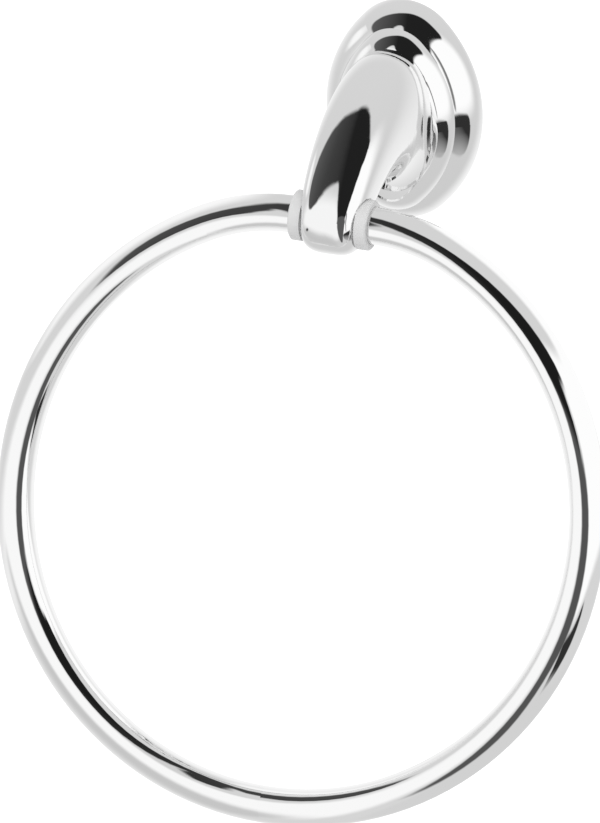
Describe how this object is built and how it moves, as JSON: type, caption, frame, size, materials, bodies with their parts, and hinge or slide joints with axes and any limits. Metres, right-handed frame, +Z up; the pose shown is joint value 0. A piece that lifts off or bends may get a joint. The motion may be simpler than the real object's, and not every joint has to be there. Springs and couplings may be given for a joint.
{
  "type": "towel ring",
  "caption": "Wall-mounted towel ring: an oval moulded escutcheon with a curved arm, whose hub carries a bent tube ring that swings in flanged bushings.",
  "frame": {"origin": "middle of the escutcheon's back face, on the wall plane", "axes": "+Z up, +Y into the wall, -Y into the room, +X to the right seen from the room along the ring's pivot axis"},
  "size_m": [0.1618, 0.1142, 0.1826],
  "materials": {
    "post_chrome": "polished chrome plate on a zinc casting",
    "ring_chrome": "polished chrome plate on drawn tube",
    "bushing_nylon": "moulded, satin, pale grey",
    "bracket_steel": "zinc-plated, dull",
    "screw_steel": "plain steel, machined"
  },
  "bodies": {
    "fixed": {"post": "post_chrome", "wall_bracket": "bracket_steel", "set_screw": "screw_steel", "left_bushing": "bushing_nylon", "right_bushing": "bushing_nylon"},
    "ring": {"ring": "ring_chrome"}
  },
  "joints": [
    {"name": "ring_swing", "type": "hinge", "parent": "fixed", "child": "ring", "pos_m": [0, -0.056, -0.0078], "axis": [1, 0, 0], "range_deg": [-179, 40]}
  ]
}
